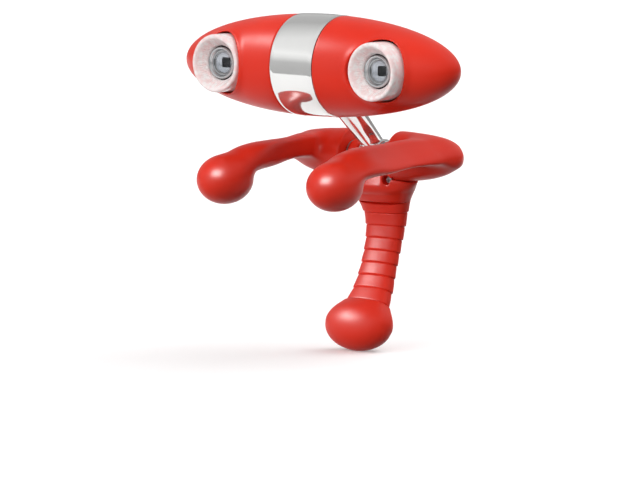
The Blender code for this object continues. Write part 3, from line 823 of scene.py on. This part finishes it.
def leg_core_field(p):
    """The leg's shoulder with two lugs on the axle, cut out for the arms, the post and the clamp screws."""
    depth, half_width, half_depth = along_leg(p)
    from_axle = around(p, (0, 0, 0), 0)
    from_middle = np.abs(p[:, 0])
    inset = np.clip((CORE_EDGE_Z - p[:, 2]) / 0.3, 0, 1) * CORE_INSET
    body = superellipse(p[:, 0], depth, half_width - inset, half_depth - inset, LEG_SQUARENESS)
    body = smooth_max(body, slab(p, 2, *CORE_ENDS_Z), 0.6)
    lugs = smooth_max(from_axle - LUG_RADIUS, from_middle - LUG_OUTER, 0.5)
    body = smooth_min(body, lugs, 1.5)
    saddle = np.maximum(from_axle - SADDLE_RADIUS, LUG_OUTER - from_middle)
    body = smooth_max(body, -saddle, 0.5)
    well = np.maximum(from_axle - WELL_RADIUS, from_middle - LUG_INNER)
    body = smooth_max(body, -well, 0.3)
    low, high = SWING
    first = -p[:, 1] * math.cos(low) + p[:, 2] * math.sin(low)
    second = p[:, 1] * math.cos(high) - p[:, 2] * math.sin(high)
    slot = np.maximum(from_middle - LUG_INNER, -np.maximum(first, second))
    body = smooth_max(body, -slot, 0.4)
    recess = np.hypot(from_middle - CLAMP_RECESS[0], p[:, 2] - CLAMP_RECESS[1])
    screw = np.maximum(recess - CLAMP_RECESS_RADIUS, p[:, 1] - CLAMP_RECESS_BACK)
    return smooth_max(body, -screw, 0.4)


def foot_field(p):
    centre, depthwise, half_width, half_depth = leg_frame(SLEEVE_TO)
    along = np.array((0, -depthwise.z, depthwise.y))
    offset = p - np.array(centre)
    down = offset @ along
    depth = offset @ np.array(depthwise)
    neck = superellipse(p[:, 0], depth, half_width + 0.1, half_depth + 0.1, LEG_SQUARENESS)
    neck = smooth_max(neck, down - NECK_LENGTH, 1.0)
    bulb = smooth_min(neck, ellipsoid(p, FOOT_CENTRE, FOOT_RADII), FOOT_BLEND)
    return smooth_max(bulb, -down + 0.02, 0.25)


def make_leg():
    make_sleeve()
    sculpted(
        "leg_core_skin", leg_core_field, (-15.7, -6, -19), (15.7, 12, 6), 0.4, HUB,
        "rear_leg", "red_plastic", ["leg_core"],
    )
    sculpted(
        "leg_foot_skin", foot_field, (-12.5, -17, -60.5), (12.5, 2, -40), 0.4, HUB,
        "rear_leg", "red_rubber", ["leg_foot"],
    )


# ---------------------------------------------------------------- post

POST_LENGTH = (HEAD - HUB).length / MM
POST_LEAN = math.atan2(HUB.y - HEAD.y, HEAD.z - HUB.z)
TUBE_CROSSING = 18.8
TUBE_LEAN = math.radians(4.3)
TUBE_START = 3.0  # from the hub
TUBE_SHORT = 2.0  # how far it ends below the head's axle
TUBE_RADII = (3.2, 4.6)
KNUCKLE_BORE = 1.6
# name, distance up the post, radius, half length and look
KNUCKLES = (
    ("base_knuckle", 0.0, 4.8, 3.6, "chrome"),
    ("head_knuckle", POST_LENGTH, 4.2, 3.4, "grey_metal"),
)


def make_post():
    post = Matrix.Translation(HUB) @ Matrix.Rotation(POST_LEAN, 4, "X")
    tube = (
        post
        @ Matrix.Translation((0, 0, TUBE_CROSSING * MM))
        @ Matrix.Rotation(TUBE_LEAN, 4, "X")
        @ Matrix.Translation((0, 0, -TUBE_CROSSING * MM))
    )
    low, high = TUBE_START, POST_LENGTH - TUBE_SHORT
    profile = rounded([(0, low), (TUBE_RADII[0], low), (TUBE_RADII[1], high), (0, high)], 0.3)
    turned("post_tube_skin", profile, tube, "post", "chrome", ["post_tube"], steps=128)
    for name, along, radius, half, look in KNUCKLES:
        profile = [(KNUCKLE_BORE, -half), (radius, -half), (radius, half), (KNUCKLE_BORE, half)]
        matrix = post @ Matrix.Translation((0, 0, along * MM)) @ ALONG_X
        turned(name + "_skin", rounded(profile, 0.5), matrix, "post", look, [name], steps=96)


# ---------------------------------------------------------------- head

HEAD_RADIUS = 15.4
HEAD_HALF = 51.5
WALL = 1.6
BAND_HALF = 8.0
LENS_X = 30.0
WINDOW_RADIUS = 9.4
LIP_HEIGHT = 0.5
LIP_WIDTH = 1.3
SHELL_SCREW = (19.0, 6.0)
SHELL_GAP = 0.15  # between the band and each shell
BOSS_RADIUS = 2.9
BOSS_ENDS_Y = (10.6, 13.2)
BOSS_RECESS = 1.9
BOSS_SEAT_Y = 11.6


def shell_field(p):
    """The right end shell: a hollow egg's end with a lip round its window and a screw boss at the back."""
    egg = ellipsoid(p, (0, 0, 0), (HEAD_HALF, HEAD_RADIUS, HEAD_RADIUS))
    core = ellipsoid(p, (0, 0, 0), (HEAD_HALF - WALL, HEAD_RADIUS - WALL, HEAD_RADIUS - WALL))
    from_lens = around(p, (LENS_X, 0, 0), 1)
    front = np.clip(-p[:, 1] / 3.0, 0, 1)
    lip = LIP_HEIGHT * np.exp(-(((from_lens - WINDOW_RADIUS) / LIP_WIDTH) ** 2)) * front
    skin = smooth_max(egg - lip, -core, 0.2)
    window = np.minimum(WINDOW_RADIUS - from_lens, -p[:, 1])
    skin = smooth_max(skin, window, 0.3)
    skin = smooth_max(skin, BAND_HALF + SHELL_GAP - p[:, 0], 0.25)
    screw = np.hypot(p[:, 0] - SHELL_SCREW[0], p[:, 2] - SHELL_SCREW[1])
    boss = np.maximum(screw - BOSS_RADIUS, slab(p, 1, *BOSS_ENDS_Y))
    boss = smooth_max(boss, egg, 0.1)
    skin = smooth_min(skin, boss, 0.4)
    return smooth_max(skin, np.minimum(BOSS_RECESS - screw, p[:, 1] - BOSS_SEAT_Y), 0.2)


def make_shells():
    for side, sign in SIDES:
        sculpted(
            side + "_shell_skin", shell_field, (7.5, -16.5, -16.5), (53.0, 16.5, 16.5), 0.4, HEAD,
            "head", "red_plastic", [side + "_head_shell"], mirror=sign < 0,
        )


SLOT_HALF = 5.1
SLOT_FIRST = math.radians(-12.3)
SLOT_LAST = math.radians(97.7)
SLOT_STEPS = 72
REST_STEPS = 156
BAND_WALL = 1.1
BAND_PROUD = 0.12
BAND_EDGE = 0.12  # bevel on the band's edges


def make_band():
    """A chrome ring with the egg's profile, open below and behind where the post swings."""
    right = (1.7, 3.4, SLOT_HALF, 6.4, 7.6, 7.85, BAND_HALF)
    xs = [-x for x in reversed(right)] + [0.0] + list(right)
    slot_span = SLOT_LAST - SLOT_FIRST
    angles = [SLOT_FIRST + slot_span * i / SLOT_STEPS for i in range(SLOT_STEPS)]
    angles += [SLOT_LAST + (2 * math.pi - slot_span) * i / REST_STEPS for i in range(REST_STEPS)]
    points, faces = [], []
    for x in xs:
        proud = BAND_PROUD - 0.18 * max(0.0, (abs(x) - 7.6) / 0.4)
        radius = HEAD_RADIUS * math.sqrt(1 - (x / HEAD_HALF) ** 2) + proud
        for angle in angles:
            points.append((x, radius * math.sin(angle), -radius * math.cos(angle)))
    count = len(angles)
    for i in range(len(xs) - 1):
        in_slot = abs(xs[i] + xs[i + 1]) / 2 < SLOT_HALF
        for j in range(count):
            if in_slot and j < SLOT_STEPS:
                continue
            k = (j + 1) % count
            faces.append((i * count + j, i * count + k, (i + 1) * count + k, (i + 1) * count + j))
    band = piece(
        "band_skin", placed(points, Matrix.Translation(HEAD)), faces, "head", "chrome", ["centre_band"]
    )
    thick = band.modifiers.new("wall", "SOLIDIFY")
    thick.thickness = BAND_WALL * MM
    thick.offset = -1.0
    edge = band.modifiers.new("edges", "BEVEL")
    edge.width = BAND_EDGE * MM
    edge.segments = 2
    edge.limit_method = "ANGLE"
    edge.angle_limit = SHARP_ANGLE


# Profiles of (radius, height ahead of the head's axis).
BEZEL_PROFILE = (
    (8.8, 7.6),
    (8.8, 13.7),
    (8.72, 14.15),
    (8.5, 14.45),
    (8.15, 14.58),
    (7.75, 14.5),
    (7.4, 14.2),
    (6.7, 13.2),
    (6.0, 12.2),
    (5.5, 11.45),
    (5.25, 11.0),
    (5.2, 10.4),
    (7.2, 10.2),
    (7.2, 7.6),
)
FLUTES = 56
FLUTE_DEPTH = 0.16
WELL_POINTS = (7, 8, 9)  # the profile's points down the well


def bezel_ripple(index, angle):
    """Fine flutes down the bezel's well."""
    if index not in WELL_POINTS:
        return 0.0
    return FLUTE_DEPTH * (1 - abs(math.cos(angle * FLUTES / 2)) ** 0.5)


BARREL_PROFILE = (
    (4.86, 5.0),
    (4.86, 11.1),
    (4.78, 11.4),
    (4.55, 11.6),
    (4.3, 11.55),
    (4.1, 11.35),
    (3.95, 11.0),
    (3.75, 10.85),
    (3.7, 10.5),
    (3.5, 10.4),
    (3.45, 9.9),
    (3.3, 9.8),
    (3.3, 5.0),
)
GLASS_PROFILE = (
    (0.0, 10.75),
    (0.7, 10.72),
    (1.4, 10.62),
    (2.1, 10.42),
    (2.7, 10.15),
    (3.1, 9.9),
    (3.25, 9.75),
    (3.25, 9.4),
    (2.4, 9.3),
    (0.0, 9.2),
)


FUNNEL_RIM = 3.22
FUNNEL_RIM_Z = 9.25
FUNNEL_END_Z = 8.75
FUNNEL_WALL = 0.12
FUNNEL_SHARES = (0.0, 0.25, 0.55, 0.85, 1.0)  # rows of points from the rim to the aperture
FUNNEL_SIDES = 96
APERTURE_HALF = 1.4  # the aperture is a small square window
STOP_RADIUS = 2.9  # the dark disc behind the aperture
STOP_ENDS_Z = (8.65, 8.3)


def square_point(angle, half):
    """A point of a square with soft corners at an angle."""
    c, s = math.cos(angle), math.sin(angle)
    reach = half / (abs(c) ** 9 + abs(s) ** 9) ** (1 / 9)
    return c * reach, s * reach


def funnel_mesh():
    """A thin funnel from the lens's round edge to its square aperture."""
    points = []
    rows = [(share, 0.0) for share in FUNNEL_SHARES]
    rows += [(share, -FUNNEL_WALL) for share in reversed(FUNNEL_SHARES)]
    for share, drop in rows:
        for step in range(FUNNEL_SIDES):
            angle = 2 * math.pi * step / FUNNEL_SIDES
            x, y = square_point(angle, APERTURE_HALF)
            rim_x, rim_y = FUNNEL_RIM * math.cos(angle), FUNNEL_RIM * math.sin(angle)
            height = FUNNEL_RIM_Z + (FUNNEL_END_Z - FUNNEL_RIM_Z) * share + drop
            points.append((rim_x + (x - rim_x) * share, rim_y + (y - rim_y) * share, height))
    return points, looped_faces(len(rows), FUNNEL_SIDES)


def make_lenses():
    funnel, funnel_faces = funnel_mesh()
    top, bottom = STOP_ENDS_Z
    stop = rounded([(0.0, top), (STOP_RADIUS, top), (STOP_RADIUS, bottom), (0.0, bottom)], 0.1)
    for side, sign in SIDES:
        lens = Matrix.Translation(HEAD + Vector((sign * LENS_X * MM, 0, 0))) @ LENSWARD
        focus = side + "_focus"
        turned(
            side + "_bezel_skin", BEZEL_PROFILE, lens, "head", "clear_bezel", [side + "_lens_bezel"],
            steps=FLUTES * 8, ripple=bezel_ripple,
        )
        turned(
            side + "_barrel_skin", BARREL_PROFILE, lens, focus, "grey_metal", [side + "_focus_ring"],
            steps=128, sharp=math.radians(50),
        )
        turned(side + "_glass_skin", GLASS_PROFILE, lens, focus, "lens_glass", [side + "_front_lens"])
        iris = [side + "_iris_plate"]
        piece(
            side + "_iris_funnel", placed(funnel, lens), funnel_faces, focus, "grey_metal", iris,
            sharp=math.radians(30),
        )
        turned(side + "_aperture_stop", stop, lens, focus, "black_plastic", iris, steps=64)


# ---------------------------------------------------------------- screws, washers, pads and gland

GLAND_ANGLE = math.radians(38.0)
GLAND_PROFILE = (
    (1.4, 12.5),
    (2.1, 12.5),
    (2.1, 15.65),
    (2.9, 15.75),
    (2.9, 16.7),
    (2.6, 17.0),
    (1.4, 17.0),
)
GLAND_NOTCHES = 16
NOTCH_DEPTH = 0.18
FLANGE_POINTS = (3, 4)  # the profile's points round the flange
CROSS_HALF = 0.2  # a screw's cross recess: half width, reach and depth as shares of its radius
CROSS_REACH = 0.65
CROSS_DEPTH = 0.55
AXLE_SCREW_AT = (16.0, 0.0, -3.9)  # places of the right side's pieces, in the hub frame or the head frame
CLAMP_SCREW_AT = (CLAMP_RECESS[0], -1.9, CLAMP_RECESS[1])
SHELL_SCREW_AT = (SHELL_SCREW[0], 11.1, SHELL_SCREW[1])
SHELL_SHANK = (0.8, -7.2)  # radius and end
WASHER_BORE = 1.8
WASHER_RADIUS = 4.0
WASHER_HALF = 0.2
HUB_WASHER_X = 8.6
POST_WASHER_X = 4.0
BUSH_RADIUS = 3.4
BUSH_HALF = 0.45
BUSH_X = 4.2
PAD_SIZE = (7.0, 11.0, 1.0)
PAD_CENTRE = (22.9, -20.5, -1.15)
PAD_SLOPE = math.radians(10.0)
PAD_RIB_PITCH = 1.1


def make_screw(name, radius, low, high, shank, matrix, body):
    """A screw with a soft-edged head and a cross recess towards local +Z. shank is a radius and an end."""

    def field(p):
        rho = np.hypot(p[:, 0], p[:, 1])
        head = smooth_max(rho - radius, slab(p, 2, low, high), 0.2)
        if shank:
            stem = np.maximum(rho - shank[0], slab(p, 2, shank[1], low + 0.2))
            head = smooth_min(head, stem, 0.1)
        a, b = np.abs(p[:, 0]), np.abs(p[:, 1])
        half, reach = CROSS_HALF * radius, CROSS_REACH * radius
        cross = np.minimum(np.maximum(a - half, b - reach), np.maximum(b - half, a - reach))
        return smooth_max(head, -np.maximum(cross, high - CROSS_DEPTH * radius - p[:, 2]), 0.08)

    bottom = shank[1] if shank else low
    reach = radius + 0.3
    sculpted_at(
        name + "_skin", field, (-reach, -reach, bottom - 0.3), (reach, reach, high + 0.3), 0.11,
        matrix, body, "grey_metal", [name],
    )


def make_washer(name, outer, half, matrix, body, look):
    profile = rounded([(WASHER_BORE, -half), (outer, -half), (outer, half), (WASHER_BORE, half)], 0.12)
    turned(name + "_skin", profile, matrix, body, look, [name], steps=72)


def pad_field(p):
    """A block with soft corners and ribs across its underside."""
    half = [size / 2 for size in PAD_SIZE]
    block = smooth_max(np.abs(p[:, 0]) - half[0], np.abs(p[:, 1]) - half[1], 1.2)
    block = smooth_max(block, np.abs(p[:, 2]) - half[2], 0.35)
    groove = 0.14 * (1 - np.cos(2 * math.pi * p[:, 1] / PAD_RIB_PITCH)) * (p[:, 2] < 0)
    inner = np.clip((half[0] - 0.5 - np.abs(p[:, 0])) / 0.4, 0, 1)
    return block + groove * inner


def gland_ripple(index, angle):
    """Grip notches round the gland's flange."""
    notch = NOTCH_DEPTH * max(0.0, math.cos(GLAND_NOTCHES * angle))
    return -notch if index in FLANGE_POINTS else 0.0


def make_hardware():
    hub = Matrix.Translation(HUB)
    head = Matrix.Translation(HEAD)
    reach = [size / 2 + 0.4 for size in PAD_SIZE]
    for side, sign in SIDES:

        def at(x, y=0.0, z=0.0):
            return Matrix.Translation((sign * x * MM, y * MM, z * MM))

        matrix = hub @ at(*AXLE_SCREW_AT) @ DOWNWARD
        make_screw(side + "_axle_screw", 1.0, -1.8, 1.8, None, matrix, "arm_frame")
        matrix = hub @ at(*CLAMP_SCREW_AT) @ LENSWARD
        make_screw(side + "_clamp_screw", 1.1, -1.5, 0.3, None, matrix, "rear_leg")
        matrix = head @ at(*SHELL_SCREW_AT) @ REARWARD
        make_screw(side + "_shell_screw", 1.5, -0.6, 0.6, SHELL_SHANK, matrix, "head")
        for name, x, body in (
            ("_hub_washer", HUB_WASHER_X, "arm_frame"),
            ("_post_washer", POST_WASHER_X, "post"),
        ):
            matrix = hub @ at(x) @ ALONG_X
            make_washer(side + name, WASHER_RADIUS, WASHER_HALF, matrix, body, "grey_metal")
        matrix = head @ at(BUSH_X) @ ALONG_X
        make_washer(side + "_tilt_bush", BUSH_RADIUS, BUSH_HALF, matrix, "head", "black_rubber")
        matrix = hub @ at(*PAD_CENTRE) @ Matrix.Rotation(PAD_SLOPE, 4, "X")
        sculpted_at(
            side + "_pad_skin", pad_field, [-r for r in reach], reach, 0.2,
            matrix, "arm_frame", "red_rubber", [side + "_grip_pad"],
        )
    turned(
        "cable_gland_skin", GLAND_PROFILE, head @ Matrix.Rotation(GLAND_ANGLE - math.pi / 2, 4, "X"),
        "head", "black_rubber", ["cable_gland"], steps=128, ripple=gland_ripple,
    )


# ---------------------------------------------------------------- build

# CAD pieces that no piece replaces keep their own shape and take the look of their slot.
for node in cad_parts.values():
    slot_name = node.data.materials[0].name.split(".")[0] if node.data.materials else ""
    node.data.materials.clear()
    node.data.materials.append(SLOT_LOOKS.get(slot_name, BLACK_PLASTIC))

add_camera()
add_world()
add_floor()
add_fills()
make_arms()
make_leg()
make_post()
make_shells()
make_band()
make_lenses()
make_hardware()
# The lamps come last, because they name the pieces they light: direction, width, height and power.
add_softbox(
    "head_softbox", (-0.66, -0.43, 0.62), 0.30, 0.12, 3.2, ("left_shell_skin", "right_shell_skin")
)
add_softbox("arm_softbox", (0.28, -0.73, 0.62), 0.46, 0.34, 30.0, ("left_arm_skin", "right_arm_skin"))
add_softbox(
    "leg_softbox", (-0.52, -0.66, 0.54), 0.36, 0.34, 24.0,
    ("leg_core_skin", "leg_sleeve_skin", "leg_foot_skin"),
)

bpy.context.scene.view_settings.view_transform = "Standard"
